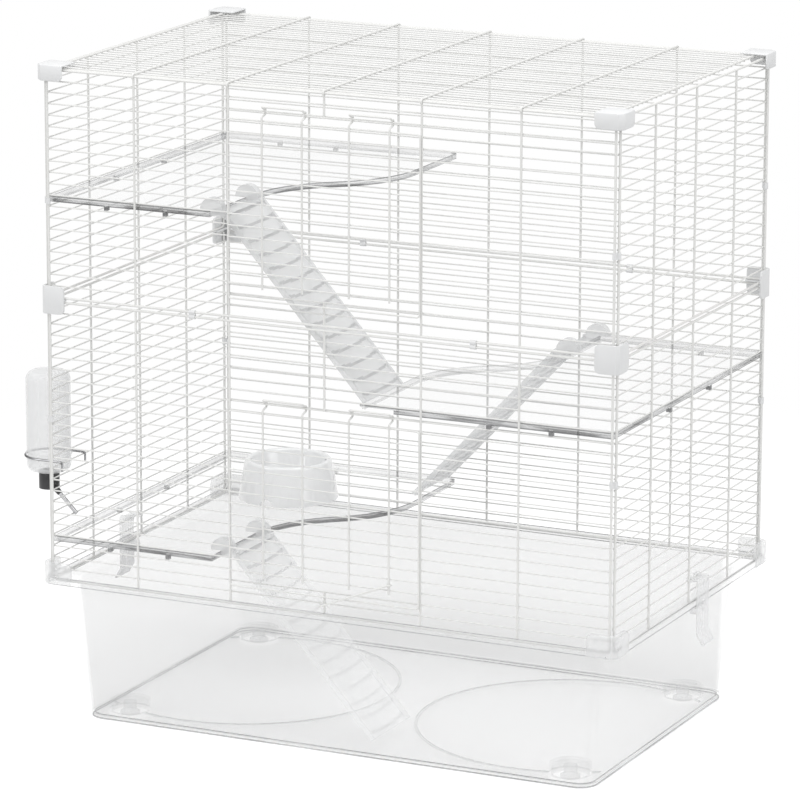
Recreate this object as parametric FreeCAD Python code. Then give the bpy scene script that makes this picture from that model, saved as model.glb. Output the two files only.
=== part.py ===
"""Multi-level rodent cage: clear tub, two tiers of welded wire, platforms, ramps, doors, bottle.

Millimetres. The origin is the middle of the tub's underside, +Z is up and -Y is the door side.
"""
import FreeCAD, Part
import math
import os

Vec = FreeCAD.Vector

# Driving sizes of the wire body
body_width = 584.0
body_depth = 368.0
bar_pitch = 10.88
lower_bar_count = 24
upper_bar_count = 19
edge_gap = 11.0
seam_pitch = 4.4
bay = 98.5
post_inset = 3.0
frame_bend = 4.0

# Wire sizes, as radii, and how deep a weld sinks one wire into the next
frame_r = 1.2
upright_r = 1.1
bar_r = 0.7
weld = 0.3

# General clearances
press_gap = 0.05
touch_gap = 0.1
fit_gap = 0.3
loose_gap = 0.5

# How far a cutting shape runs past what it cuts
overshoot = 1.0

# Clear tub
tub_floor_width = 529.0
tub_floor_depth = 336.0
tub_mouth_width = 550.0
tub_mouth_depth = 354.0
tub_wall = 2.5
tub_floor = 3.0
tub_corner = 18.0
seat_height = 137.8
flange_thick = 3.3
flange_overhang = 4.0
lip_wall = 2.3
lip_height = 4.2
rim_corner = 8.0
bead_circle = 149.0
bead_centre = 173.0
bead_width = 3.0
bead_height = 1.2
bead_margin = 6.0

# Foot sockets in the tub floor
foot_x = 232.0
foot_y = 138.0
socket_r = 20.0
socket_wall = 2.0
socket_height = 14.0
peg_r = 6.5
peg_flange_r = 9.5
peg_flange = 2.5

# Doors: the bar that each door hangs from and the bar below the doorway
header_bar = 17
sill_bar = 1
door_width = 196.0
door_top_drop = 8.7
door_overlap = 3.9
door_frame_r = 0.85
door_bend = 3.0
hairpin_r = 1.0
hairpin_centres = (-41.5, 47.5)
hairpin_width = 41.0
hairpin_short = 11.0
hook_reach = 2.8
hook_dip = 5.0
hook_rise = 4.6
hook_bend = 1.3

# Swing latch of the lower door
latch_wire_r = 0.9
latch_bar_slot = 2
latch_drop = 29.0
latch_tail = 3.0

# Platforms and their S-shaped free edges
platform_thick = 6.3
platform_deck = 3.0
platform_wall = 2.5
platform_gap = 0.4
tab_width = 4.0
tab_places = (-228.0, -166.0)
tab_reach = 2.2
upper_platform_bar = 7
mid_platform_bar = 17
lower_platform_bar = 2
platform_stand = 3.2
left_narrow = 119.5
left_wide = 34.0
left_curve = (-88.0, 85.0)
mid_narrow = 123.0
mid_wide = 35.0
mid_curve = (-68.0, 95.0)

# Ramps
ramp_width = 80.0
ramp_length = 217.0
plank_start = 14.0
ramp_deck = 2.5
ramp_side = 2.5
ramp_side_height = 5.0
rung_pitch = 16.2
rung_width = 3.0
rung_height = 1.5
ear_r = 12.0
ear_width = 8.0
ear_overhang = 10.5
ramp_side_gap = 1.0
tub_side_gap = 2.5

# Corner pieces
cap_offset = 6.0
cap_wall = 2.0
cap_leg = 22.0
cap_skirt = 13.6
cap_plate = 1.7
seam_offset = 4.0
seam_wall = 2.5
seam_leg = 20.0
seam_height = 27.0
bracket_offset = 6.2
bracket_leg = 24.0
bracket_height = 14.0
corner_chamfer = 5.0
least_chamfer = 0.5
leg_round = 5.0

# Small sleeves that tie two frame wires together at the corner posts and along the seam
sleeve_wall = 0.9
sleeve_web = 2.4
sleeve_length = 6.0
lower_sleeve_slot = 13
upper_sleeve_slot = 7
seam_sleeve_places = (-137.0, 151.0)

# Roof
roof_bar_count = 33
roof_side_gap = 9.0
roof_edge_gap = 3.7
hook_turn = 120.0

# Water bottle on the left wall
bottle_r = 21.5
bottle_height = 99.0
bottle_wall = 1.5
bottle_bend = 8.0
bottle_x = -315.4
bottle_y = -142.5
bottle_base = 234.0
neck_r = 8.0
neck_height = 8.0
bead_r = 22.6
bead_rise = 1.2
cap_r = 10.0
cap_height = 17.0
spout_r = 1.9
spout_bore = 1.2
collar_r = 3.6
collar_length = 11.0
spout_length = 36.0
spout_start = 4.0
spout_bar_slot = 4
holder_bar = 9
holder_wire_r = 1.0
holder_tail = 9.0
holder_bend = 1.4

# Food bowl
bowl_x = -154.0
bowl_y = 50.0
bowl_base_r = 49.5
bowl_rim_r = 43.0
bowl_opening_r = 36.7
bowl_height = 38.5
bowl_wall = 3.2
bowl_floor = 7.0
bowl_well_r = 29.0
bowl_notch_r = 7.0

# Clips that hold the wire body down on the tub
clip_y = 16.0
clip_width = 26.0
clip_plate = 2.5
clip_drop = 52.0
clip_flare = 6.0
clip_flare_drop = 10.0
clip_eye_r = 3.4
clip_eye_width = 4.0
clip_bar = 1
clip_lug_height = 5.0
clip_lug_drop = 1.1
clip_standoff = 2.5

# Places worked out from the sizes above
half_width = body_width / 2
half_depth = body_depth / 2
lower_bottom = seat_height + frame_r
lower_top = lower_bottom + 2 * edge_gap + bar_pitch * (lower_bar_count - 1)
upper_bottom = lower_top + seam_pitch
upper_top = upper_bottom + 2 * edge_gap + bar_pitch * (upper_bar_count - 1)
bar_inset = frame_r + bar_r - weld
upright_inset = bar_inset - bar_r - upright_r + weld
cross_height = upper_top + frame_r + upright_r + press_gap
cap_top = cross_height + upright_r + touch_gap + cap_plate


def bar_height(tier_bottom, index):
    """Height of a thin bar, counted up from the tier's bottom wire."""
    return tier_bottom + edge_gap + bar_pitch * index


def box(low, high):
    """Box between two corners."""
    return Part.makeBox(high[0] - low[0], high[1] - low[1], high[2] - low[2], Vec(*low))


def rod(start, end, radius):
    """Straight round wire."""
    direction = Vec(*end) - Vec(*start)
    return Part.makeCylinder(radius, direction.Length, Vec(*start), direction)


def tube_along(path, radius):
    """Round wire swept along a path of lines and arcs."""
    first = path.OrderedEdges[0]
    start = first.valueAt(first.FirstParameter)
    tangent = first.tangentAt(first.FirstParameter)
    ring = Part.Wire(Part.makeCircle(radius, start, tangent))
    return path.makePipeShell([ring], True, False)


def bent_path(points, bend, closed=False):
    """Polyline whose corners are rounded by tangent arcs."""
    corners = [Vec(*point) for point in points]
    count = len(corners)
    bends = {}
    for index in range(count):
        if not closed and index in (0, count - 1):
            continue
        here = corners[index]
        back = (corners[index - 1] - here).normalize()
        ahead = (corners[(index + 1) % count] - here).normalize()
        half = back.getAngle(ahead) / 2
        reach = bend / math.tan(half)
        middle = (back + ahead).normalize()
        bulge = here + middle * (bend / math.sin(half) - bend)
        bends[index] = (here + back * reach, bulge, here + ahead * reach)
    edges = []
    for index in range(count if closed else count - 1):
        after = (index + 1) % count
        start = bends[index][2] if index in bends else corners[index]
        end = bends[after][0] if after in bends else corners[after]
        edges.append(Part.LineSegment(start, end).toShape())
        if after in bends:
            edges.append(Part.Arc(*bends[after]).toShape())
    return Part.Wire(edges)


def joined(shapes):
    """One solid from overlapping shapes."""
    return shapes[0].multiFuse(shapes[1:]) if len(shapes) > 1 else shapes[0]


def slab(points, low, high):
    """Upright prism over an outline."""
    outline = Part.makePolygon([Vec(x, y, low) for x, y in points] + [Vec(*points[0], low)])
    return Part.Face(outline).extrude(Vec(0, 0, high - low))


def rounded_rectangle(width, depth, corner, height):
    """Closed outline of a rectangle with round corners."""
    x, y = width / 2, depth / 2
    return bent_path([(-x, -y, height), (x, -y, height), (x, y, height), (-x, y, height)], corner, True)


def rounded_block(width, depth, corner, low, high):
    """Upright prism with round corners."""
    return Part.Face(rounded_rectangle(width, depth, corner, low)).extrude(Vec(0, 0, high - low))


def turned(shape, degrees, place=(0, 0, 0)):
    """Copy turned about Z, then moved."""
    copy = shape.copy()
    copy.rotate(Vec(0, 0, 0), Vec(0, 0, 1), degrees)
    copy.translate(Vec(*place))
    return copy


# Clear tub

def make_tub():
    flange_low = seat_height - flange_thick
    outer = Part.makeLoft([
        rounded_rectangle(tub_floor_width, tub_floor_depth, tub_corner, 0),
        rounded_rectangle(tub_mouth_width, tub_mouth_depth, tub_corner, seat_height)], True, True)
    slope_x = (tub_mouth_width - tub_floor_width) / seat_height * tub_floor
    slope_y = (tub_mouth_depth - tub_floor_depth) / seat_height * tub_floor
    inner_corner = tub_corner - tub_wall
    inner = Part.makeLoft([
        rounded_rectangle(tub_floor_width - 2 * tub_wall + slope_x, tub_floor_depth - 2 * tub_wall + slope_y,
                          inner_corner, tub_floor),
        rounded_rectangle(tub_mouth_width - 2 * tub_wall, tub_mouth_depth - 2 * tub_wall,
                          inner_corner, seat_height)], True, True)
    rim_width = body_width + 2 * flange_overhang
    rim_depth = body_depth + 2 * flange_overhang
    flange = rounded_block(rim_width, rim_depth, rim_corner, flange_low, seat_height)
    lip = rounded_block(rim_width, rim_depth, rim_corner, seat_height, seat_height + lip_height)
    lip = lip.cut(rounded_block(rim_width - 2 * lip_wall, rim_depth - 2 * lip_wall, rim_corner - lip_wall,
                                seat_height, seat_height + lip_height))
    sockets = []
    pockets = []
    for x, y in foot_places():
        sockets.append(Part.makeCylinder(socket_r, socket_height, Vec(x, y, 0)))
        pockets.append(Part.makeCylinder(socket_r - socket_wall, socket_height - socket_wall, Vec(x, y, 0)))
    beads = []
    limit_x = tub_floor_width / 2 - tub_wall - bead_margin
    limit_y = tub_floor_depth / 2 - tub_wall - bead_margin
    floor_area = box((-limit_x, -limit_y, 0), (limit_x, limit_y, tub_floor + bead_height))
    for side in (-1, 1):
        middle = Vec(side * bead_centre, 0, tub_floor - weld)
        ring = Part.makeCylinder(bead_circle + bead_width / 2, bead_height + weld, middle)
        ring = ring.cut(Part.makeCylinder(bead_circle - bead_width / 2, bead_height + weld, middle))
        beads.append(ring.common(floor_area))
    tub = joined([outer, flange, lip]).cut(inner)
    return joined([tub] + sockets + beads).cut(pockets).removeSplitter()


def foot_places():
    return [(x, y) for x in (-foot_x, foot_x) for y in (-foot_y, foot_y)]


def make_foot_pegs():
    pegs = []
    for x, y in foot_places():
        stem = Part.makeCylinder(peg_r, socket_height - socket_wall, Vec(x, y, 0))
        flange = Part.makeCylinder(peg_flange_r, peg_flange, Vec(x, y, 0))
        pegs.append(stem.fuse(flange).removeSplitter())
    return Part.makeCompound(pegs)


# Welded wire walls, drawn as a front wall on the plane y = 0 with the inside towards +y

def wire_frame(half_length, low, high):
    return tube_along(bent_path([(-half_length, 0, low), (half_length, 0, low), (half_length, 0, high),
                                 (-half_length, 0, high)], frame_bend, True), frame_r)


def make_wall(length, tier_bottom, bar_count, upright_places, doorway=False):
    half = length / 2 - post_inset
    top = tier_bottom + 2 * edge_gap + bar_pitch * (bar_count - 1)
    end = half + weld
    wires = [wire_frame(half, tier_bottom, top)]
    for index in range(bar_count):
        z = bar_height(tier_bottom, index)
        spans = [(-end, end)]
        if doorway and sill_bar < index < header_bar:
            spans = [(-end, -bay + weld), (bay - weld, end)]
        wires += [rod((a, bar_inset, z), (b, bar_inset, z), bar_r) for a, b in spans]
    for x in upright_places:
        stretches = [(tier_bottom, top)]
        if doorway and x == 0:
            stretches = [(tier_bottom, bar_height(tier_bottom, sill_bar) + weld),
                         (bar_height(tier_bottom, header_bar) - weld, top)]
        wires += [rod((x, upright_inset, a), (x, upright_inset, b), upright_r) for a, b in stretches]
    return joined(wires)


def make_tier(tier_bottom, bar_count):
    """The four walls of one tier, in their places."""
    long_uprights = [bay * index for index in (-2, -1, 0, 1, 2)]
    short_uprights = [bay * index for index in (-1, 0, 1)]
    front = make_wall(body_width, tier_bottom, bar_count, long_uprights, doorway=True)
    back = make_wall(body_width, tier_bottom, bar_count, long_uprights)
    side = make_wall(body_depth, tier_bottom, bar_count, short_uprights)
    return {"front": turned(front, 0, (0, -half_depth, 0)), "right": turned(side, 90, (half_width, 0, 0)),
            "back": turned(back, 180, (0, half_depth, 0)), "left": turned(side, 270, (-half_width, 0, 0))}


def make_roof():
    reach_x = half_width - roof_side_gap
    edge_y = half_depth - roof_edge_gap
    bar_z = cross_height - upright_r - bar_r + weld
    edge_z = cross_height - 2 * upright_r + weld
    wires = []
    for side in (-1, 1):
        y = side * edge_y
        wires.append(rod((-reach_x - weld, y, edge_z), (reach_x + weld, y, edge_z), upright_r))
    for index in range(roof_bar_count):
        y = bar_pitch * (index - (roof_bar_count - 1) / 2)
        wires.append(rod((-reach_x - weld, y, bar_z), (reach_x + weld, y, bar_z), bar_r))
    for x in [-reach_x] + [bay * index for index in (-2, -1, 0, 1, 2)] + [reach_x]:
        wires.append(roof_cross_wire(x))
    return joined(wires)


def roof_cross_wire(x):
    """Cross wire whose two ends curl over the walls' top wires."""
    radius = cross_height - upper_top

    def around(side, degrees):
        angle = math.radians(degrees)
        return Vec(x, side * (half_depth + radius * math.sin(angle)), upper_top + radius * math.cos(angle))

    edges = [Part.Arc(around(-1, hook_turn), around(-1, hook_turn / 2), around(-1, 0)).toShape(),
             Part.LineSegment(around(-1, 0), around(1, 0)).toShape(),
             Part.Arc(around(1, 0), around(1, hook_turn / 2), around(1, hook_turn)).toShape()]
    return tube_along(Part.Wire(edges), upright_r)


# Doors: flat wire leaves that hang from the header bar by two hairpins

header_y = -half_depth + bar_inset
door_y = -half_depth + upright_inset - upright_r - fit_gap - door_frame_r
hairpin_y = door_y - bar_r - hairpin_r + weld


def make_door(tier_bottom):
    header = bar_height(tier_bottom, header_bar)
    low = bar_height(tier_bottom, sill_bar) - door_overlap
    high = header - door_top_drop
    half = door_width / 2
    corners = [(-half, door_y, low), (half, door_y, low), (half, door_y, high), (-half, door_y, high)]
    frame = bent_path(corners, door_bend, True)
    wires = [tube_along(frame, door_frame_r)]
    for index in range(sill_bar + 1, header_bar - 1):
        z = bar_height(tier_bottom, index)
        wires.append(rod((-half, door_y, z), (half, door_y, z), bar_r))
    for centre in hairpin_centres:
        wires.append(make_hairpin(centre, low + hairpin_short, header))
    return joined(wires)


def make_hairpin(centre, low, header):
    """Two legs that hook round behind the header bar and meet in a loop above it."""
    top = bar_r + hairpin_r + fit_gap
    side = [(hairpin_y, low), (hairpin_y, header - hook_dip), (header_y + hook_reach, header - hook_reach),
            (header_y + hook_reach, header + top), (header_y - weld, header + top),
            (header_y - hook_rise, header + hook_rise)]
    left = centre - hairpin_width / 2
    right = centre + hairpin_width / 2
    points = [(left, y, z) for y, z in side] + [(right, y, z) for y, z in reversed(side)]
    return tube_along(bent_path(points, hook_bend), hairpin_r)


def hook_sweep(tier_bottom):
    """Room round the header bar that the right hairpin's loop sweeps when the door swings."""
    reach = hairpin_width / 2 + hairpin_r + loose_gap
    radius = math.hypot(hook_rise, hook_rise) + hairpin_r + fit_gap
    start = Vec(hairpin_centres[1] - reach, header_y, bar_height(tier_bottom, header_bar))
    return Part.makeCylinder(radius, 2 * reach, start, Vec(1, 0, 0))


def make_door_latch():
    """Wire hook with an eye round a hairpin leg; its arm lies across the foot of the lower door."""
    pivot_x = hairpin_centres[1] + hairpin_width / 2
    eye = hairpin_r + latch_wire_r + fit_gap / 2
    z = bar_height(lower_bottom, latch_bar_slot) + bar_pitch / 2
    ring = Part.makeTorus(eye, latch_wire_r, Vec(pivot_x, hairpin_y, z), Vec(0, 0, 1))
    arm_y = hairpin_y - eye - touch_gap
    arm = rod((pivot_x, arm_y, z), (-latch_tail, arm_y, z - latch_drop), latch_wire_r)
    return ring.fuse(arm)


# Platforms

def platform_level(tier_bottom, index):
    """Underside of a platform whose tabs stand on a bar."""
    return bar_height(tier_bottom, index) + bar_r + platform_stand


def s_edge(narrow, wide, curve, inset):
    """Free edge of a left platform, from front to back: straight, two tangent arcs, straight."""
    start, end = curve
    rise = narrow - wide
    turn = 2 * math.atan2(rise, end - start)
    radius = (end - start) / (2 * math.sin(turn))
    near = half_depth - bar_inset - bar_r - platform_gap - inset
    x0 = -narrow - inset
    x1 = -wide - inset

    def first(angle):
        arm = radius + inset
        return Vec(-narrow + radius - arm * math.cos(angle), start + arm * math.sin(angle), 0)

    def second(angle):
        arm = radius - inset
        return Vec(-wide - radius + arm * math.cos(angle), end - arm * math.sin(angle), 0)

    return [Part.LineSegment(Vec(x0, -near, 0), first(0)).toShape(),
            Part.Arc(first(0), first(turn / 2), first(turn)).toShape(),
            Part.Arc(second(turn), second(turn / 2), second(0)).toShape(),
            Part.LineSegment(second(0), Vec(x1, near, 0)).toShape()]


def platform_outline(narrow, wide, curve, inset):
    near = half_depth - bar_inset - bar_r - platform_gap - inset
    far = -(half_width - bar_inset - bar_r - platform_gap - inset)
    edges = s_edge(narrow, wide, curve, inset)
    edges.append(Part.LineSegment(Vec(-wide - inset, near, 0), Vec(far, near, 0)).toShape())
    edges.append(Part.LineSegment(Vec(far, near, 0), Vec(far, -near, 0)).toShape())
    edges.append(Part.LineSegment(Vec(far, -near, 0), Vec(-narrow - inset, -near, 0)).toShape())
    return Part.Face(Part.Wire(edges))


def make_platform(narrow, wide, curve, level, tier_bottom, index, side):
    """Tray with a turned-down edge; side is -1 on the left wall and 1 on the right wall."""
    plate = platform_outline(narrow, wide, curve, 0).extrude(Vec(0, 0, platform_thick))
    under = Vec(0, 0, platform_thick - platform_deck)
    hollow = platform_outline(narrow, wide, curve, platform_wall).extrude(under)
    tray = plate.cut(hollow)
    tray.translate(Vec(0, 0, level))
    rest = bar_height(tier_bottom, index) + bar_r + touch_gap
    near = half_depth - bar_inset - bar_r - platform_gap
    far = half_width - bar_inset - bar_r - platform_gap
    half_tab = tab_width / 2
    tabs = []
    for x in tab_places:
        for end in (-1, 1):
            ys = sorted((end * (near - platform_wall), end * (near + tab_reach)))
            tabs.append(box((x - half_tab, ys[0], rest), (x + half_tab, ys[1], level + platform_wall)))
    for y in (-bay / 2, bay / 2):
        tabs.append(box((-far - tab_reach, y - half_tab, rest),
                        (-far + platform_wall, y + half_tab, level + platform_wall)))
    tray = joined([tray] + tabs).removeSplitter()
    return turned(tray, 0 if side < 0 else 180)


# Ramps, drawn going down towards +x from a platform edge at x = 0, z = 0

def make_ramp(drop, side_y):
    slope = math.asin((drop - ramp_side_height - fit_gap) / ramp_length)
    plank = [box((0, 0, 0), (ramp_length, ramp_width, ramp_deck)),
             box((0, 0, 0), (ramp_length, ramp_side, ramp_side_height)),
             box((0, ramp_width - ramp_side, 0), (ramp_length, ramp_width, ramp_side_height))]
    for index in range(1, int(ramp_length / rung_pitch)):
        x = index * rung_pitch
        plank.append(box((x, ramp_side - weld, ramp_deck - weld),
                         (x + rung_width, ramp_width - ramp_side + weld, ramp_deck + rung_height)))
    plank = joined(plank)
    plank.rotate(Vec(0, 0, 0), Vec(0, 1, 0), math.degrees(slope))
    plank.translate(Vec(plank_start, 0, -ramp_side_height))
    below = box((0, -overshoot, -2 * drop), (2 * ramp_length, ramp_width + overshoot, -drop + fit_gap))
    bridge = box((loose_gap, 0, -ramp_side_height),
                 (plank_start + ramp_side, ramp_width, ramp_deck - ramp_side_height))
    ears = [bridge]
    for y in (0, ramp_width - ear_width):
        disc = Part.makeCylinder(ear_r, ear_width, Vec(ear_r - ear_overhang, y, fit_gap), Vec(0, 1, 0))
        disc = disc.common(box((-2 * ear_r, y, fit_gap), (2 * ear_r, y + ear_width, 2 * ear_r)))
        neck = box((loose_gap, y, -ramp_side_height), (plank_start + ramp_side, y + ear_width, fit_gap))
        ears += [disc, neck]
    ramp = joined([plank] + ears).cut(below).removeSplitter()
    ramp.translate(Vec(0, side_y, 0))
    return ramp


# Corner pieces, drawn for the front right corner with the wall planes crossing at x = 0, y = 0

def corner_block(offset, leg, low, high):
    """Prism over a corner: chamfered outside, running leg millimetres along each wall."""
    bevel = max(offset + corner_chamfer - cap_offset, least_chamfer)
    bend = offset - bevel
    outline = [(-leg, -offset), (bend, -offset), (offset, -bend), (offset, leg), (-leg, leg)]
    return slab(outline, low, high)


def round_leg_ends(shape, leg, low, high):
    """Rounds the corners at the far end of both legs, seen square to each wall."""
    far = 10 * leg
    front = [(-leg, -far, low), (far, -far, low), (far, -far, high), (-leg, -far, high)]
    side = [(-far, leg, low), (-far, -far, low), (-far, -far, high), (-far, leg, high)]
    front_area = Part.Face(bent_path(front, leg_round, True)).extrude(Vec(0, 2 * far, 0))
    side_area = Part.Face(bent_path(side, leg_round, True)).extrude(Vec(2 * far, 0, 0))
    kept = front_area.common(side_area)
    return shape.common(kept)


def make_top_cap():
    under = cap_top - cap_plate
    low = under - cap_skirt
    block = corner_block(cap_offset, cap_leg, low, cap_top)
    shell = block.cut(corner_block(cap_offset - cap_wall, 2 * cap_leg, low - cap_skirt, under))
    return round_leg_ends(shell, cap_leg, low, cap_top + 2 * leg_round)


def make_seam_connector():
    middle = (lower_top + upper_bottom) / 2
    low = middle - seam_height / 2
    inner = seam_offset - seam_wall
    high = low + seam_height
    block = corner_block(seam_offset, seam_leg, low, high)
    shell = block.cut(corner_block(inner, 2 * seam_leg, low - overshoot, high + overshoot))
    ledge_half = seam_pitch / 2 - frame_r - touch_gap
    ledge = corner_block(seam_offset, seam_leg, middle - ledge_half, middle + ledge_half)
    inside = box((-2 * seam_leg, 2 * frame_r, low), (-2 * frame_r, 2 * seam_leg, high))
    return round_leg_ends(shell.fuse(ledge.cut(inside)).removeSplitter(), seam_leg, low, high)


def make_base_bracket():
    lip_top = seat_height + lip_height + fit_gap
    low = seat_height - flange_thick + fit_gap
    high = lip_top + bracket_height
    block = corner_block(bracket_offset, bracket_leg, low, high)
    lip_room = corner_block(flange_overhang + fit_gap, 2 * bracket_leg, low - overshoot, lip_top)
    wire_room = corner_block(frame_r + fit_gap, 2 * bracket_leg, low - overshoot, high + overshoot)
    return round_leg_ends(block.cut(lip_room).cut(wire_room), bracket_leg, low - 2 * leg_round, high)


def pair_sleeve(first, second, along):
    """Sleeve round two parallel frame wires, as long as the vector along."""
    side = (second - first).cross(along).normalize() * (sleeve_web / 2)
    outline = Part.makePolygon([first + side, second + side, second - side, first - side, first + side])
    pieces = [Part.Face(outline).extrude(along)]
    bores = []
    for place in (first, second):
        pieces.append(Part.makeCylinder(frame_r + sleeve_wall, along.Length, place, along))
        bores.append(Part.makeCylinder(frame_r + touch_gap, along.Length, place, along))
    return joined(pieces).cut(bores).removeSplitter()


def make_post_clips():
    """Sleeves round the front or back wall's post and the side wall's post, at every corner of both tiers."""
    sleeves = []
    for tier_bottom, slot in ((lower_bottom, lower_sleeve_slot), (upper_bottom, upper_sleeve_slot)):
        low = bar_height(tier_bottom, slot) + (bar_pitch - sleeve_length) / 2
        sleeve = pair_sleeve(Vec(-post_inset, 0, low), Vec(0, post_inset, low), Vec(0, 0, sleeve_length))
        sleeves += at_corners(sleeve, "post_clip").values()
    return Part.makeCompound(sleeves)


def make_seam_clips():
    """Sleeves round the lower tier's top wire and the upper tier's bottom wire, at the front and the back."""
    sleeves = []
    for x in seam_sleeve_places:
        for y in (-half_depth, half_depth):
            start = x - sleeve_length / 2
            sleeves.append(pair_sleeve(Vec(start, y, lower_top), Vec(start, y, upper_bottom),
                                       Vec(sleeve_length, 0, 0)))
    return Part.makeCompound(sleeves)


def at_corners(shape, name):
    """Copies of a front right corner piece at all four corners."""
    mirrored = shape.mirror(Vec(0, 0, 0), Vec(1, 0, 0))
    return {name + "_front_right": turned(shape, 0, (half_width, -half_depth, 0)),
            name + "_front_left": turned(mirrored, 0, (-half_width, -half_depth, 0)),
            name + "_back_left": turned(shape, 180, (-half_width, half_depth, 0)),
            name + "_back_right": turned(mirrored, 180, (half_width, half_depth, 0))}


# Clip that hooks under the tub's rim, drawn for the right wall

def make_base_clip():
    pivot_x = half_width - bar_inset
    pivot_z = bar_height(lower_bottom, clip_bar)
    plate_x = half_width + flange_overhang + clip_standoff
    low_y = clip_y - clip_width / 2
    high_y = clip_y + clip_width / 2
    lug_top = seat_height - flange_thick - clip_lug_drop
    foot = pivot_z - clip_drop
    tip = foot - clip_flare_drop
    tip_x = plate_x + clip_flare
    flare = [(plate_x, foot), (plate_x + clip_plate, foot), (tip_x + clip_plate, tip), (tip_x, tip)]
    outline = Part.makePolygon([Vec(x, low_y, z) for x, z in flare + flare[:1]])
    pieces = [Part.Face(outline).extrude(Vec(0, clip_width, 0)),
              box((plate_x, low_y, foot), (plate_x + clip_plate, high_y, pivot_z)),
              box((half_width, low_y, lug_top - clip_lug_height), (plate_x + weld, high_y, lug_top))]
    for y in (low_y + clip_eye_width / 2, high_y - 1.5 * clip_eye_width):
        pieces.append(Part.makeCylinder(clip_eye_r, clip_eye_width, Vec(pivot_x, y, pivot_z), Vec(0, 1, 0)))
        pieces.append(box((pivot_x, y, pivot_z - clip_eye_r / 2),
                          (plate_x + clip_plate, y + clip_eye_width, pivot_z + clip_eye_r / 2)))
    bore = Part.makeCylinder(bar_r + fit_gap, clip_width, Vec(pivot_x, low_y, pivot_z), Vec(0, 1, 0))
    return joined(pieces).cut(bore).removeSplitter()


# Water bottle

def domed_cylinder(radius, low, high, bend):
    """Upright cylinder with rounded end edges."""
    body = Part.makeCylinder(radius, high - low, Vec(0, 0, low))
    rims = [edge for edge in body.Edges if edge.BoundBox.ZLength < bend]
    return body.makeFillet(bend, rims)


def make_bottle():
    outer = domed_cylinder(bottle_r, 0, bottle_height, bottle_bend)
    inner = domed_cylinder(bottle_r - bottle_wall, bottle_wall, bottle_height - bottle_wall,
                           bottle_bend - bottle_wall)
    neck = Part.makeCylinder(neck_r, neck_height, Vec(0, 0, -neck_height))
    throat = Part.makeCylinder(neck_r - bottle_wall, neck_height + 2 * bottle_wall, Vec(0, 0, -neck_height))
    ledge = holder_height() + holder_wire_r + fit_gap - bottle_base
    bead = Part.makeCylinder(bead_r, bead_rise, Vec(0, 0, ledge))
    shell = joined([outer, neck, bead]).cut(inner).cut(throat).removeSplitter()
    shell.translate(Vec(bottle_x, bottle_y, bottle_base))
    return shell


def holder_height():
    return bar_height(lower_bottom, holder_bar) + bar_r + holder_wire_r + touch_gap


def make_bottle_cap():
    outer = Part.makeCylinder(cap_r, cap_height, Vec(0, 0, -cap_height))
    socket_depth = neck_height + press_gap
    socket = Part.makeCylinder(neck_r + press_gap, socket_depth, Vec(0, 0, -socket_depth))
    cap = outer.cut(socket)
    cap.translate(Vec(bottle_x, bottle_y, bottle_base - touch_gap))
    start, direction = spout_line()
    collar = Part.makeCone(collar_r, spout_r + bottle_wall / 2, collar_length, start, direction)
    return cap.fuse(collar).cut(spout_rod(spout_r + press_gap)).removeSplitter()


def spout_line():
    """Start and direction of the spout's axis, which slants down between two bars of the left wall."""
    cross_z = bar_height(lower_bottom, spout_bar_slot) + bar_pitch / 2
    run = -half_width + bar_inset - bottle_x - spout_start
    return Vec(bottle_x + spout_start, bottle_y, cross_z + run), Vec(1, 0, -1).normalize()


def spout_rod(radius, extra=0.0):
    start, direction = spout_line()
    return Part.makeCylinder(radius, spout_length + extra, start - direction * extra, direction)


def make_spout():
    return spout_rod(spout_r).cut(spout_rod(spout_bore, overshoot))


def make_bottle_holder():
    """Wire loop round the bottle whose two arms hook over a bar of the left wall."""
    ring_r = bottle_r + holder_wire_r + fit_gap
    z = holder_height()
    hook_x = -half_width + bar_inset + bar_r + holder_wire_r + fit_gap
    near = bottle_y - ring_r
    far = bottle_y + ring_r
    tail_z = z - holder_tail
    near_arm = bent_path([(hook_x, near, tail_z), (hook_x, near, z), (bottle_x, near, z)], holder_bend)
    far_arm = bent_path([(bottle_x, far, z), (hook_x, far, z), (hook_x, far, tail_z)], holder_bend)
    outermost = Vec(bottle_x - ring_r, bottle_y, z)
    loop = Part.Arc(Vec(bottle_x, near, z), outermost, Vec(bottle_x, far, z)).toShape()
    return tube_along(Part.Wire(near_arm.OrderedEdges + [loop] + far_arm.OrderedEdges), holder_wire_r)


# Food bowl

def make_bowl(level):
    """Bowl with a hollow skirt, a rounded rim and a finger notch at the front."""
    under = bowl_floor + bowl_wall
    rim_bend = (bowl_rim_r - bowl_opening_r) / 2
    rim_middle = bowl_opening_r + rim_bend
    rim_start = Vec(bowl_rim_r, 0, bowl_height - rim_bend)
    rim_end = Vec(bowl_opening_r, 0, bowl_height - rim_bend)
    rim = Part.Arc(rim_start, Vec(rim_middle, 0, bowl_height), rim_end).toShape()
    rest = [(bowl_well_r, under), (0, under), (0, bowl_floor), (bowl_well_r + bowl_wall / 2, bowl_floor),
            (rim_middle, bowl_height - 2 * bowl_wall), (bowl_base_r - bowl_wall, 0), (bowl_base_r, 0)]
    sides = Part.makePolygon([rim_end] + [Vec(x, 0, z) for x, z in rest] + [rim_start])
    outline = Part.Wire([rim] + sides.Edges)
    notch = Part.makeCylinder(bowl_notch_r, bowl_base_r, Vec(0, -bowl_well_r - bowl_wall, 0), Vec(0, -1, 0))
    bowl = Part.Face(outline).revolve(Vec(0, 0, 0), Vec(0, 0, 1), 360).cut(notch)
    bowl.translate(Vec(bowl_x, bowl_y, level))
    return bowl


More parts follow.
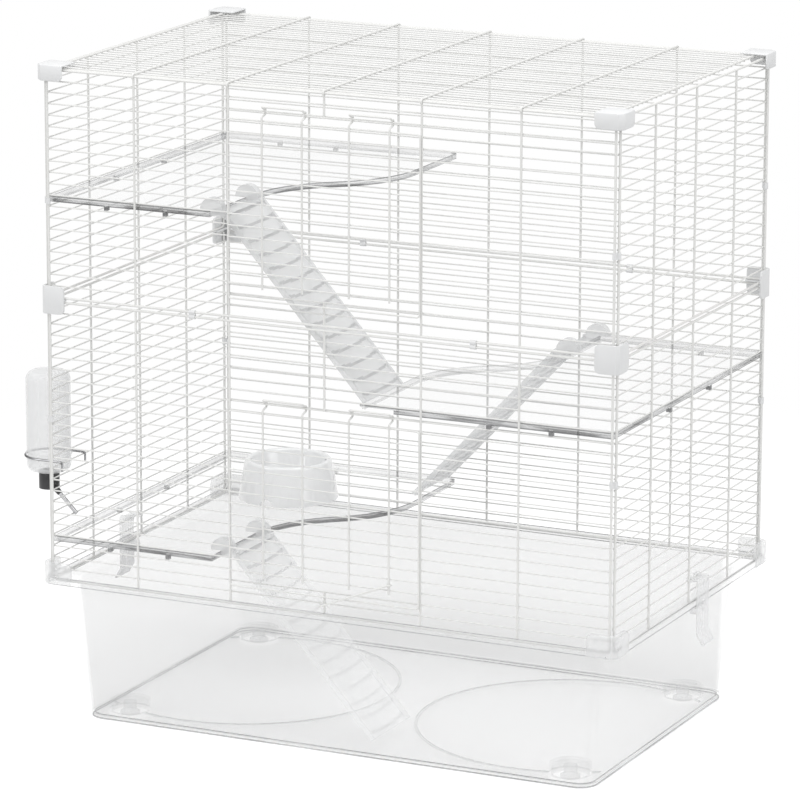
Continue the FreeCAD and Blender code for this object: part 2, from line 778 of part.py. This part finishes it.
def build():
    upper_level = platform_level(upper_bottom, upper_platform_bar)
    mid_level = platform_level(lower_bottom, mid_platform_bar)
    lower_level = platform_level(lower_bottom, lower_platform_bar)
    nodes = {"base_tub": make_tub(), "foot_pegs": make_foot_pegs()}
    tiers = (("lower", lower_bottom, lower_bar_count), ("upper", upper_bottom, upper_bar_count))
    for tier, bottom, count in tiers:
        for wall, shape in make_tier(bottom, count).items():
            nodes["%s_%s_wall" % (tier, wall)] = shape
        nodes[tier + "_door"] = make_door(bottom)
    nodes["lower_door_latch"] = make_door_latch()
    nodes["roof_panel"] = make_roof()
    nodes.update(at_corners(make_top_cap(), "top_cap"))
    nodes.update(at_corners(make_seam_connector(), "seam_connector"))
    nodes.update(at_corners(make_base_bracket(), "base_bracket"))
    nodes["post_clips"] = make_post_clips()
    nodes["seam_clips"] = make_seam_clips()
    nodes["upper_platform"] = make_platform(left_narrow, left_wide, left_curve, upper_level, upper_bottom,
                                            upper_platform_bar, -1)
    mid_turned = (-mid_curve[1], -mid_curve[0])
    mid_platform = make_platform(mid_narrow, mid_wide, mid_turned, mid_level, lower_bottom,
                                 mid_platform_bar, 1)
    nodes["mid_platform"] = mid_platform.cut(hook_sweep(lower_bottom))
    nodes["lower_platform"] = make_platform(left_narrow, left_wide, left_curve, lower_level, lower_bottom,
                                            lower_platform_bar, -1)
    upper_deck = upper_level + platform_thick
    mid_deck = mid_level + platform_thick
    lower_deck = lower_level + platform_thick
    near = half_depth - bar_inset - bar_r - ramp_side_gap
    upper_drop = upper_deck - mid_deck
    nodes["upper_ramp"] = turned(make_ramp(upper_drop, -near), 0, (-left_narrow, 0, upper_deck))
    nodes["mid_ramp"] = turned(make_ramp(mid_deck - lower_deck, -near), 180, (mid_narrow, 0, mid_deck))
    tub_near = tub_floor_depth / 2 - tub_wall - tub_side_gap
    nodes["lower_ramp"] = turned(make_ramp(upper_drop, -tub_near), 0, (-left_narrow, 0, lower_deck))
    nodes["water_bottle"] = make_bottle()
    nodes["bottle_cap"] = make_bottle_cap()
    nodes["bottle_spout"] = make_spout()
    nodes["bottle_holder"] = make_bottle_holder()
    nodes["food_bowl"] = make_bowl(lower_deck)
    clip = make_base_clip()
    nodes["base_clip_right"] = clip
    nodes["base_clip_left"] = turned(clip, 180)
    return nodes


os.makedirs("parts", exist_ok=True)
for name, shape in build().items():
    print(name, len(shape.Solids), shape.isValid(), round(shape.Volume, 1), shape.BoundBox)
    shape.exportStep("parts/%s.step" % name)
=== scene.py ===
"""Looks of the multi-level rodent cage: white wire, clear tub and platforms, frosted ramps, bottle, bowl."""
import math

import bmesh
import bpy
from mathutils import Matrix, Vector


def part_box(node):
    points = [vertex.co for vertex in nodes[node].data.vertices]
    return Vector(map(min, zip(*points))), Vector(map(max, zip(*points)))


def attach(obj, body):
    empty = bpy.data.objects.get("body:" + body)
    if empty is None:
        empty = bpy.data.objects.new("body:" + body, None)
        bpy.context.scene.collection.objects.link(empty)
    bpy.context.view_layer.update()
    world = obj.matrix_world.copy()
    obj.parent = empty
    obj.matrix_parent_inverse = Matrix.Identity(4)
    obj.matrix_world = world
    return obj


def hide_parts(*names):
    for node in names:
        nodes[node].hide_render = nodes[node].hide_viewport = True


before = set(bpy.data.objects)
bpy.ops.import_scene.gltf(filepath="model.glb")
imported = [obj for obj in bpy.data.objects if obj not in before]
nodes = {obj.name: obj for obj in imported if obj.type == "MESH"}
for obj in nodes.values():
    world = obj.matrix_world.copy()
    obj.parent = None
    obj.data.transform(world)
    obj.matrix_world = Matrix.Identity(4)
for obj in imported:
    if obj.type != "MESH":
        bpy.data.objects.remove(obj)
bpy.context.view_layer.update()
levels = ("upper", "mid", "lower")
corners = ("front_right", "front_left", "back_left", "back_right")


# Shader trees

class Value:
    """One value in a shader tree. Arithmetic on it adds Math nodes."""

    def __init__(self, tree, socket):
        self.tree = tree
        self.socket = socket

    def math(self, operation, *terms):
        return self.tree.node("ShaderNodeMath", {"operation": operation}, dict(enumerate(terms)))

    def __add__(self, other):
        return self.math("ADD", self, other)

    def __sub__(self, other):
        return self.math("SUBTRACT", self, other)

    def __rsub__(self, other):
        return self.math("SUBTRACT", other, self)

    def __mul__(self, other):
        return self.math("MULTIPLY", self, other)

    def __pow__(self, other):
        return self.math("POWER", self, other)

    def __abs__(self):
        return self.math("ABSOLUTE", self)

    def highest(self, *others):
        most = self
        for other in others:
            most = self.math("MAXIMUM", most, other)
        return most

    def between(self, low, high):
        """0 below low, 1 above high, even in between."""
        return self.tree.node("ShaderNodeMapRange", {}, {"Value": self, "From Min": low, "From Max": high})


class Tree:
    """The node tree of a material or of the world."""

    def __init__(self, owner):
        owner.use_nodes = True
        self.tree = owner.node_tree
        self.tree.nodes.clear()

    def put(self, socket, value):
        """Links a value to a socket, or sets a constant on it."""
        if isinstance(value, Value):
            self.tree.links.new(value.socket, socket)
        elif socket.type == "RGBA":
            socket.default_value = (*value, 1)
        else:
            socket.default_value = value

    def add(self, kind, settings, sockets):
        """Adds a node: its settings first, then its sockets."""
        made = self.tree.nodes.new(kind)
        for key, value in settings.items():
            setattr(made, key, value)
        for key, value in sockets.items():
            self.put(made.inputs[key], value)
        return made

    def node(self, kind, settings, sockets, out=0):
        """One output of a new node."""
        return Value(self, self.add(kind, settings, sockets).outputs[out])

    def looked_at(self):
        """1 on what is seen straight, in gloss or through clear pieces, and 0 on what only gives light."""
        path = self.add("ShaderNodeLightPath", {}, {})
        camera, glossy, through = [Value(self, path.outputs["Is " + kind + " Ray"])
                                   for kind in ("Camera", "Glossy", "Transmission")]
        return camera.highest(glossy, through)


finishes = {}


class Finish(Tree):
    """A material with one Principled shader, kept among the finishes by its name."""

    def __init__(self, name, constants):
        finishes[name] = bpy.data.materials.new(name)
        super().__init__(finishes[name])
        self.shader = self.add("ShaderNodeBsdfPrincipled", {}, constants)
        self.add("ShaderNodeOutputMaterial", {}, {"Surface": Value(self, self.shader.outputs[0])})

    def set(self, socket, value):
        self.put(self.shader.inputs[socket], value)

    def parts(self, vector):
        split = self.add("ShaderNodeSeparateXYZ", {}, {"Vector": vector})
        return [Value(self, socket) for socket in split.outputs]

    def place(self):
        """Where a point is on the cage, in metres."""
        return self.node("ShaderNodeTexCoord", {}, {}, "Object")

    def facing(self):
        """The surface's direction, as three values."""
        return self.parts(self.node("ShaderNodeTexCoord", {}, {}, "Normal"))

    def grazing(self):
        """0 where the surface faces the viewer, 1 where it turns away, for gloss and clear edges."""
        return self.node("ShaderNodeLayerWeight", {}, {"Blend": 0.5}, "Facing")

    def noise(self, scale, detail=2, stretch=(1, 1, 1)):
        where = self.node("ShaderNodeVectorMath", {"operation": "MULTIPLY"}, {0: self.place(), 1: stretch})
        return self.node("ShaderNodeTexNoise", {}, {"Vector": where, "Scale": scale, "Detail": detail})

    def uneven(self, low, high, scale, detail=2, stretch=(1, 1, 1)):
        """A number that wanders between two ends."""
        return self.noise(scale, detail, stretch) * (high - low) + low

    def blend(self, mask, first, second):
        """Colour between two colours. The node's colour sockets are its numbers 6 and 7, and 2 going out."""
        return self.node("ShaderNodeMix", {"data_type": "RGBA"}, {0: mask, 6: first, 7: second}, 2)

    def mottle(self, first, second, scale, detail=2):
        """Colour that wanders between two colours."""
        return self.blend(self.noise(scale, detail), first, second)

    def shades(self, value, stops):
        """Colour that runs through several stops."""
        made = self.add("ShaderNodeValToRGB", {}, {"Fac": value})
        elements = made.color_ramp.elements
        while len(elements) < len(stops):
            elements.new(0.5)
        for element, (place, shade) in zip(elements, stops):
            element.position = place
            element.color = (*shade, 1)
        return Value(self, made.outputs[0])


# Finishes

white = (1, 1, 1)
near_black = (0.03, 0.03, 0.032)
clear_ior = 1.49
frosted_ior = 1.45


def cool(level):
    """A grey with a touch of blue."""
    return (level, level + 0.005, level + 0.01)


def white_wire():
    coat = Finish("white_wire", {"Specular IOR Level": 0.4})
    coat.set("Base Color", coat.mottle((0.66, 0.66, 0.645), (0.735, 0.735, 0.725), 40))
    coat.set("Roughness", coat.uneven(0.3, 0.42, 900, 1))


# Where the parts of the tub begin and are full, in metres. The foot sockets lie to either side of its middle
# Heights of a painted dark line along the foot of the walls
painted_foot_line_start = (0.0031, 0.0035)
painted_foot_line_end = (0.0043, 0.0045)
wall_foot = (0.004, 0.006)
front_wall = (-0.165, -0.155)
right_wall = (0.255, 0.262)
back_wall = (0.15, 0.16)
left_wall = (-0.262, -0.255)
foot_x = 0.232
foot_y = 0.138
foot_rim = (0.0205, 0.021)


def clear_tub():
    """Clear plastic with painted light and shade by side: the front and right walls are painted paler, the
    back and left ones darker and smokier.
    """
    coat = Finish("clear_tub", {"Roughness": 0.08, "IOR": clear_ior})
    x, y, z = coat.parts(coat.place())
    across, along = coat.facing()[:2]
    # Painted shade: dark lines down the rounded corners and along the foot of the walls
    corner = abs(across * along).between(0.35, 0.49)
    painted_foot_line = z.between(*painted_foot_line_start) * (1 - z.between(*painted_foot_line_end))
    wall = z.between(*wall_foot)
    # Painted light on the front and right walls, painted shade on the back and left walls
    painted_pale_walls = (1 - y.between(*front_wall)).highest(x.between(*right_wall)) * wall
    painted_shade_walls = y.between(*back_wall).highest((1 - x.between(*left_wall)) * 0.85) * wall * (1 - painted_pale_walls)
    from_foot = ((abs(x) - foot_x) ** 2 + (abs(y) - foot_y) ** 2) ** 0.5
    socket = 1 - from_foot.between(*foot_rim)
    body = coat.blend(painted_shade_walls, coat.mottle(cool(0.43), cool(0.48), 5), cool(0.36))
    coat.set("Base Color", coat.blend(painted_pale_walls, body, cool(0.8)))
    # Alpha: the plastic's haze, raised on the painted lines and the painted shade
    haze_and_painted_shade = (corner * 0.05).highest(painted_foot_line * 0.3, painted_shade_walls * 0.1, painted_pale_walls * 0.04, (1 - wall) * 0.04) + 0.09
    coat.set("Alpha", haze_and_painted_shade * (1 - socket * 0.4))


def painted_edge_shade():
    """Painted shade for thin lines along the tub's edges, standing in for the dark reflections in clear
    plastic.
    """
    coat = Finish("painted_edge_shade", {"Roughness": 0.2})
    coat.set("Base Color", coat.mottle(cool(0.2), cool(0.52), 9))
    coat.set("Alpha", coat.noise(7).between(0.3, 0.7) * 0.5 + 0.2)


# A platform's edge, in metres down from its top for its painted dark lines, and how far in from its sides
# the edge reaches for its painted paler parts
upper_line_end = 0.0012
lower_line_start = 0.0052
line_fade = 0.0004
edge_depth = 0.006
edge_fade = 0.002
back_depth = 0.01


def clear_platform(level):
    """Clear plate: its edge is painted with reflections, a dark line above and below dark streaks, and is
    painted paler at the back and a little on the left.
    """
    coat = Finish("clear_platform_" + level, {"Roughness": 0.06, "IOR": clear_ior})
    low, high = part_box(level + "_platform")
    painted_pale_start = low.y + edge_depth if level == "mid" else high.y - back_depth
    x, y, z = coat.parts(coat.place())
    flat = abs(coat.facing()[2]).between(0.4, 0.6)
    # Painted reflections: dark lines near the top and bottom of the edge, streaks between
    upper_painted_line = z.between(high.z - upper_line_end - line_fade, high.z - upper_line_end)
    lower_painted_line = 1 - z.between(high.z - lower_line_start - line_fade, high.z - lower_line_start)
    line = upper_painted_line.highest(lower_painted_line)
    right = x.between(high.x - edge_depth, high.x - edge_depth + edge_fade)
    left = 1 - x.between(low.x + edge_depth - edge_fade, low.x + edge_depth)
    # Painted light: the back and left edges paler
    pale = (y.between(painted_pale_start, painted_pale_start + 2 * edge_fade) * (1 - right)).highest(left * 0.6)
    painted_streaks = coat.shades(coat.noise(13, 2, (1, 1, 14)),
                       [(0.42, near_black), (0.47, cool(0.34)), (0.54, cool(0.56)), (0.75, cool(0.74))])
    edge = coat.blend(line, painted_streaks, coat.mottle(near_black, cool(0.36), 9))
    coat.set("Base Color", coat.blend(flat, edge, cool(0.74)))
    coat.set("Alpha", (1 - flat) * (line * 0.35 + 0.5) * (1 - pale * 0.6) + flat * 0.09)


def clear_fitting():
    coat = Finish("clear_fitting", {"Roughness": 0.12, "IOR": clear_ior})
    coat.set("Base Color", coat.mottle(cool(0.72), cool(0.84), 120))
    coat.set("Alpha", coat.uneven(0.25, 0.4, 70) + coat.grazing().between(0.6, 1) * 0.4)


def clear_peg():
    coat = Finish("clear_peg", {"Roughness": 0.15, "IOR": clear_ior})
    coat.set("Base Color", coat.mottle(cool(0.66), cool(0.86), 160))
    coat.set("Alpha", coat.uneven(0.1, 0.3, 150))


# Heights over which the ramps turn from a foot in the tub that is painted paler and clearer, as painted
# light, to the frosted rest, in metres
ramp_painted_light_heights = (0.13, 0.2)
ramp_alpha_above_painted_light = 0.36


def frosted_ramp():
    coat = Finish("frosted_ramp", {"Roughness": 0.45, "IOR": frosted_ior})
    above_painted_light = coat.parts(coat.place())[2].between(*ramp_painted_light_heights)
    # Painted light: paler and clearer below these heights, inside the tub
    coat.set("Base Color", coat.blend(above_painted_light, cool(0.97), coat.mottle(cool(0.7), cool(0.78), 25, 3)))
    coat.set("Alpha", coat.uneven(0.16, 0.28, 30) + above_painted_light * ramp_alpha_above_painted_light)


def painted_ridge_shade():
    """Fronts of the ramps' treads, painted darker as painted shade."""
    coat = Finish("painted_ridge_shade", {"Roughness": 0.4, "IOR": frosted_ior})
    above_painted_light = coat.parts(coat.place())[2].between(*ramp_painted_light_heights)
    # Painted light: paler and clearer below these heights, inside the tub
    coat.set("Base Color", coat.blend(above_painted_light, cool(0.7), coat.mottle(cool(0.48), cool(0.62), 60)))
    coat.set("Alpha", coat.uneven(0.1, 0.3, 45) + above_painted_light * ramp_alpha_above_painted_light)


def corner_plastic():
    coat = Finish("corner_plastic", {})
    coat.set("Base Color", coat.mottle(cool(0.66), cool(0.71), 60))
    coat.set("Roughness", coat.uneven(0.32, 0.47, 400))


def frosted_bottle():
    coat = Finish("frosted_bottle", {"Roughness": 0.45, "IOR": frosted_ior})
    coat.set("Base Color", coat.mottle(cool(0.82), cool(0.88), 20))
    coat.set("Alpha", coat.uneven(0.19, 0.29, 18) + coat.grazing() * 0.25)


def black_cap():
    coat = Finish("black_cap", {"Roughness": 0.35})
    coat.set("Base Color", coat.mottle((0.012, 0.012, 0.013), near_black, 200))


def bright_steel(name, dark, pale):
    coat = Finish(name, {"Metallic": 1})
    # Painted reflection: the steel's colour turns near black where the surface turns away from the viewer
    edge = coat.grazing().between(0.2, 0.65)
    coat.set("Base Color", coat.blend(edge, coat.mottle(dark, pale, 150), near_black))
    coat.set("Roughness", coat.uneven(0.12, 0.32, 500, 2, (1, 1, 0.2)))


def bowl_glaze():
    coat = Finish("bowl_glaze", {"Coat Weight": 1, "Coat Roughness": 0.06})
    coat.set("Base Color", coat.mottle(cool(0.79), cool(0.82), 22, 3))
    coat.set("Roughness", coat.uneven(0.12, 0.22, 90))


white_wire()
clear_tub()
painted_edge_shade()
for level in levels:
    clear_platform(level)
clear_fitting()
clear_peg()
frosted_ramp()
painted_ridge_shade()
corner_plastic()
frosted_bottle()
black_cap()
bright_steel("spout_steel", (0.45, 0.45, 0.46), (0.75, 0.75, 0.76))
bright_steel("holder_wire", (0.22, 0.22, 0.225), (0.5, 0.5, 0.51))
bowl_glaze()


def finish_of(node):
    """Which finish a node of the cage wears."""
    named = {"base_tub": "clear_tub", "foot_pegs": "clear_peg", "water_bottle": "frosted_bottle",
             "bottle_cap": "black_cap", "bottle_spout": "spout_steel", "bottle_holder": "holder_wire",
             "food_bowl": "bowl_glaze", "post_clips": "corner_plastic", "seam_clips": "corner_plastic"}
    named.update({level + "_platform": "clear_platform_" + level for level in levels})
    named.update({level + "_ramp": "frosted_ramp" for level in levels})
    families = {"top_cap": "corner_plastic", "seam_connector": "corner_plastic",
                "base_bracket": "clear_fitting", "base_clip": "clear_fitting"}
    for family, finish in families.items():
        if node.startswith(family):
            return finish
    return named.get(node, "white_wire")


for name, thing in nodes.items():
    thing.data.materials.clear()
    thing.data.materials.append(finishes[finish_of(name)])


# Pieces that stand for plainer nodes

def add_piece(name, mesh, finish, slot, body, *stands_for):
    mesh.materials.append(finishes[finish])
    piece = bpy.data.objects.new(name, mesh)
    bpy.context.collection.objects.link(piece)
    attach(piece, body)
    if stands_for:
        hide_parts(*stands_for)


def finished_mesh(name, form, sharp_degrees):
    """The mesh of a form, smooth apart from edges sharper than an angle."""
    mesh = bpy.data.meshes.new(name)
    form.to_mesh(mesh)
    form.free()
    mesh.polygons.foreach_set("use_smooth", [True] * len(mesh.polygons))
    mesh.set_sharp_from_angle(angle=math.radians(sharp_degrees))
    return mesh


same_place = 1e-6
same_plane = math.radians(0.5)
hard_edge = math.radians(35)


def soften(node, width, slot, body):
    """A copy of a moulded node whose hard edges are rounded, so that they catch the light."""
    form = bmesh.new()
    form.from_mesh(nodes[node].data)
    bmesh.ops.remove_doubles(form, verts=form.verts, dist=same_place)
    bmesh.ops.dissolve_limit(form, angle_limit=same_plane, verts=form.verts, edges=form.edges)
    hard = [edge for edge in form.edges if len(edge.link_faces) == 2 and edge.calc_face_angle(0) > hard_edge]
    bmesh.ops.bevel(form, geom=hard, offset=width, offset_type="OFFSET", segments=2, profile=0.5,
                    affect="EDGES", clamp_overlap=True)
    mesh = finished_mesh(node + "_moulded", form, 40)
    add_piece(node + "_moulded", mesh, finish_of(node), slot, body, node)


# Ramps: a thin plank between two low rails with curved treads, and two round ears at its head, in metres

lowest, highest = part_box("upper_ramp")
ramp_width = highest.y - lowest.y
ramp_length = 0.217
plank_start = 0.014
plank_rows = 186
rail_height = 0.005
rail_width = 0.0025
rail_round = 0.0006
deck_height = 0.0025
deck_skin = 0.0016
deck_gap = 0.0002
deck_columns = 20
tread_pitch = 0.0162
tread_height = 0.0018
tread_front = 0.16
tread_bow = 0.003
tread_curve = 1.5
ear_radius = 0.012
ear_middle = 0.0015
ear_width = 0.008
ear_step = 6
fit_gap = 0.0003
edge_gap = 0.0005

deck_span = ramp_width - 2 * (rail_width + deck_gap)
deck_places = [rail_width + deck_gap + deck_span * index / deck_columns for index in range(deck_columns + 1)]
rail_profile = [(0, rail_height - rail_round), (rail_round, rail_height),
                (rail_width - rail_round, rail_height), (rail_width, rail_height - rail_round)]


def tread_share(along, across):
    """How far along its tread a point lies, 0 to 1. The treads bow down the slope."""
    side = 2 * across / ramp_width - 1
    return ((along - tread_bow * (1 - side * side)) / tread_pitch) % 1.0


def tread(along, across):
    """Height of the plank over its underside: each tread rises slowly and ends in a steep front."""
    share = tread_share(along, across)
    rise = share / (1 - tread_front) if share < 1 - tread_front else (1 - share) / tread_front
    return deck_height + tread_height * rise ** tread_curve


def plank_section(along):
    """Points around the plank: over its rails and deck, and back underneath, hollow below the treads."""
    deck = [(across, tread(along, across)) for across in deck_places]
    far_rail = [(ramp_width - across, height) for across, height in reversed(rail_profile)]
    under = [(across, height - deck_skin) for across, height in reversed(deck)]
    return (rail_profile + deck + far_rail + [(ramp_width, 0), (ramp_width - rail_width, 0)] + under
            + [(rail_width, 0), (0, 0)])


# Where the deck's top and its underside begin in a section
deck_starts = (len(rail_profile), 2 * len(rail_profile) + len(deck_places) + 2)


def prism(form, outline, low, high):
    """Closed prism over an outline in x and z, between two places in y."""
    ends = [[form.verts.new((x, y, z)) for x, z in outline] for y in (low, high)]
    count = len(outline)
    form.faces.new(ends[0])
    form.faces.new(reversed(ends[1]))
    for index in range(count):
        after = (index + 1) % count
        form.faces.new((ends[0][after], ends[0][index], ends[1][index], ends[1][after]))


def add_plank(form, slope):
    """The plank. The steep fronts of its treads take the second finish, which paints shade on them."""
    def at(along, across, height):
        return form.verts.new((plank_start + along * math.cos(slope) + height * math.sin(slope), across,
                               -rail_height - along * math.sin(slope) + height * math.cos(slope)))

    places = [ramp_length * index / plank_rows for index in range(plank_rows + 1)]
    rows = [[at(along, across, height) for across, height in plank_section(along)] for along in places]
    count = len(rows[0])
    for row, (first, second) in enumerate(zip(rows, rows[1:])):
        middle = ramp_length * (row + 0.5) / plank_rows
        for index in range(count):
            after = (index + 1) % count
            face = form.faces.new((first[index], second[index], second[after], first[after]))
            on_deck = any(start <= index < start + deck_columns for start in deck_starts)
            if on_deck and tread_share(middle, first[index].co.y) > 1 - tread_front:
                face.material_index = 1
    form.faces.new(rows[0])
    form.faces.new(reversed(rows[-1]))


def add_head(form):
    """The plate and the two ears that hold the ramp on the platform's edge."""
    end = plank_start + rail_width
    plate_top = deck_height - rail_height
    prism(form, [(edge_gap, -rail_height), (end, -rail_height), (end, plate_top), (edge_gap, plate_top)],
          ear_width, ramp_width - ear_width)
    turns = [math.radians(degrees) for degrees in range(0, 181, ear_step)]
    half_disc = [(ear_middle + ear_radius * math.cos(turn), fit_gap + ear_radius * math.sin(turn))
                 for turn in turns]
    ear = half_disc + [(edge_gap, fit_gap), (edge_gap, -rail_height), (end, -rail_height), (end, fit_gap)]
    for low in (0, ramp_width - ear_width):
        prism(form, ear, low, low + ear_width)


def make_ramp(node, turned):
    """A ramp in its node's place. It goes down towards +x, or towards -x where it is turned."""
    low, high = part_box(node)
    deck = high.z - ear_radius - fit_gap
    drop = deck - low.z + fit_gap
    overhang = ear_radius - ear_middle
    form = bmesh.new()
    add_plank(form, math.asin((drop - rail_height - fit_gap) / ramp_length))
    add_head(form)
    bmesh.ops.recalc_face_normals(form, faces=form.faces)
    mesh = finished_mesh(node + "_plank", form, 38)
    if turned:
        mesh.transform(Matrix.Rotation(math.pi, 4, "Z"))
        mesh.transform(Matrix.Translation((high.x - overhang, high.y, deck)))
    else:
        mesh.transform(Matrix.Translation((low.x + overhang, low.y, deck)))
    add_piece(node + "_plank", mesh, "frosted_ramp", "frosted_plastic", node, node)
    mesh.materials.append(finishes["painted_ridge_shade"])


for level in levels:
    make_ramp(level + "_ramp", level == "mid")
for corner in corners:
    soften("top_cap_" + corner, 0.0008, "white_plastic", "cage")
    soften("seam_connector_" + corner, 0.0007, "white_plastic", "cage")
    soften("base_bracket_" + corner, 0.0006, "clear_plastic", "cage")
for level in levels:
    soften(level + "_platform", 0.0005, "clear_plastic", "cage")
for side in ("right", "left"):
    soften("base_clip_" + side, 0.0005, "clear_plastic", "base_clip_" + side)
soften("food_bowl", 0.0009, "bowl_plastic", "cage")
soften("bottle_cap", 0.0005, "black_plastic", "cage")


# Thin lines of painted shade along the tub's edges, standing in for reflections in clear plastic, in metres

line_sides = 6
arc_steps = 8
foot_width = 0.529
foot_depth = 0.336
foot_corner = 0.018
floor_inset = 0.0024
floor_corner = 0.0155
floor_top = 0.003
foot_line = 0.0006
floor_line = 0.0005
rim_corner = 0.008
rim_line = 0.0004
rim_height = 0.1348


def edge_line(name, width, depth, corner, height, thick):
    """A thin ring of painted shade along a rounded rectangle."""
    form = bmesh.new()
    rings = []
    for quarter, (side_x, side_y) in enumerate(((1, 1), (-1, 1), (-1, -1), (1, -1))):
        middle = Vector((side_x * (width / 2 - corner), side_y * (depth / 2 - corner), height))
        for step in range(arc_steps + 1):
            angle = math.radians(90 * (quarter + step / arc_steps))
            out = Vector((math.cos(angle), math.sin(angle), 0))
            turns = [math.tau * index / line_sides for index in range(line_sides)]
            rings.append([form.verts.new(middle + out * (corner - thick + thick * math.cos(turn))
                                         + Vector((0, 0, thick * math.sin(turn)))) for turn in turns])
    for index, ring in enumerate(rings):
        after = rings[(index + 1) % len(rings)]
        for side in range(line_sides):
            beside = (side + 1) % line_sides
            form.faces.new((ring[side], after[side], after[beside], ring[beside]))
    bmesh.ops.recalc_face_normals(form, faces=form.faces)
    add_piece(name, finished_mesh(name, form, 70), "painted_edge_shade", "clear_plastic", "cage")


tub_low, tub_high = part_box("base_tub")
rim_width, rim_depth = (tub_high - tub_low).xy
edge_line("tub_foot_painted_shade", foot_width, foot_depth, foot_corner, foot_line, foot_line)
edge_line("tub_floor_painted_shade", foot_width - 2 * floor_inset, foot_depth - 2 * floor_inset, floor_corner,
          floor_top + foot_line, floor_line)
edge_line("tub_rim_painted_shade", rim_width, rim_depth, rim_corner, rim_height, rim_line)
edge_line("tub_lip_painted_shade", rim_width, rim_depth, rim_corner, tub_high.z - rim_line, rim_line)


# Floor, light and camera, in metres

floor_half = 6
floor_drop = 0.0005
floor_fade = (0.45, 1.3)
sky_light = 0.63
lamp_target = Vector((0, 0, 0.3))


def make_floor():
    """A pale floor that takes the cage's shadow and fades into the white around it."""
    mesh = bpy.data.meshes.new("floor")
    square = [(-floor_half, -floor_half), (floor_half, -floor_half), (floor_half, floor_half),
              (-floor_half, floor_half)]
    mesh.from_pydata([(x, y, -floor_drop) for x, y in square], [], [(0, 1, 2, 3)])
    floor = bpy.data.objects.new("floor", mesh)
    bpy.context.collection.objects.link(floor)
    pale = Finish("pale_floor", {"Roughness": 0.9, "Emission Strength": 0.27})
    x, y = pale.parts(pale.place())[:2]
    away = (x ** 2 + y ** 2) ** 0.5
    pale.set("Base Color", pale.mottle((0.92, 0.92, 0.92), (0.94, 0.94, 0.94), 3))
    pale.set("Alpha", 1 - away.between(*floor_fade))
    pale.set("Emission Color", pale.blend(pale.looked_at(), (0, 0, 0), white))
    mesh.materials.append(finishes["pale_floor"])


def make_world():
    """White to look at, and softer as a light."""
    world = bpy.data.worlds.new("studio")
    bpy.context.scene.world = world
    sky = Tree(world)
    light = sky.node("ShaderNodeBackground", {}, {"Color": white, "Strength": sky_light})
    backdrop = sky.node("ShaderNodeBackground", {}, {"Color": white, "Strength": 1})
    mixed = sky.node("ShaderNodeMixShader", {}, {0: sky.looked_at(), 1: light, 2: backdrop})
    sky.add("ShaderNodeOutputWorld", {}, {"Surface": mixed})


def make_lamp(name, place, size, power):
    lamp = bpy.data.lights.new(name, "AREA")
    lamp.size = size
    lamp.energy = power
    thing = bpy.data.objects.new(name, lamp)
    thing.location = place
    thing.rotation_euler = (lamp_target - Vector(place)).to_track_quat("-Z", "Y").to_euler()
    bpy.context.collection.objects.link(thing)


# The view: turned to the right, tilted down and rolled, in degrees, from a place behind its aim, in metres
view_turn = 25.2332
view_tilt = 13.6026
view_roll = 0.1627
view_back = 4.74736
view_right = -0.00839
view_up = -0.30881
view_aim = 0.62348
view_lens = 226.32
view_sensor = 36


def make_camera():
    """A long lens from the front right, a little above."""
    turn, tilt, roll = [math.radians(degrees) for degrees in (view_turn, view_tilt, view_roll)]
    back = Vector((math.sin(turn) * math.cos(tilt), -math.cos(turn) * math.cos(tilt), math.sin(tilt)))
    right = (-back).cross(Vector((0, 0, 1))).normalized()
    up = right.cross(-back)
    rolled_right = math.cos(roll) * right + math.sin(roll) * up
    rolled_up = -math.sin(roll) * right + math.cos(roll) * up
    lens = bpy.data.cameras.new("photo_view")
    lens.sensor_width = view_sensor
    lens.lens = view_lens
    lens.clip_end = 50
    camera = bpy.data.objects.new("photo_view", lens)
    camera.matrix_world = Matrix((rolled_right, rolled_up, back)).transposed().to_4x4()
    camera.location = back * view_back + right * view_right + up * view_up + Vector((0, 0, view_aim))
    bpy.context.collection.objects.link(camera)
    bpy.context.scene.camera = camera


make_floor()
make_world()
make_lamp("top_soft", place=(0.3, -0.6, 2.6), size=2.2, power=36)
make_lamp("front_soft", place=(-1.6, -2.4, 1.6), size=1.6, power=23)
make_lamp("side_soft", place=(2.6, -0.6, 1.2), size=1.6, power=16)
make_camera()
bpy.context.scene.view_settings.view_transform = "Standard"
# Enough for a line of sight through tub, ramp, pegs and platforms
bpy.context.scene.cycles.transparent_max_bounces = 40
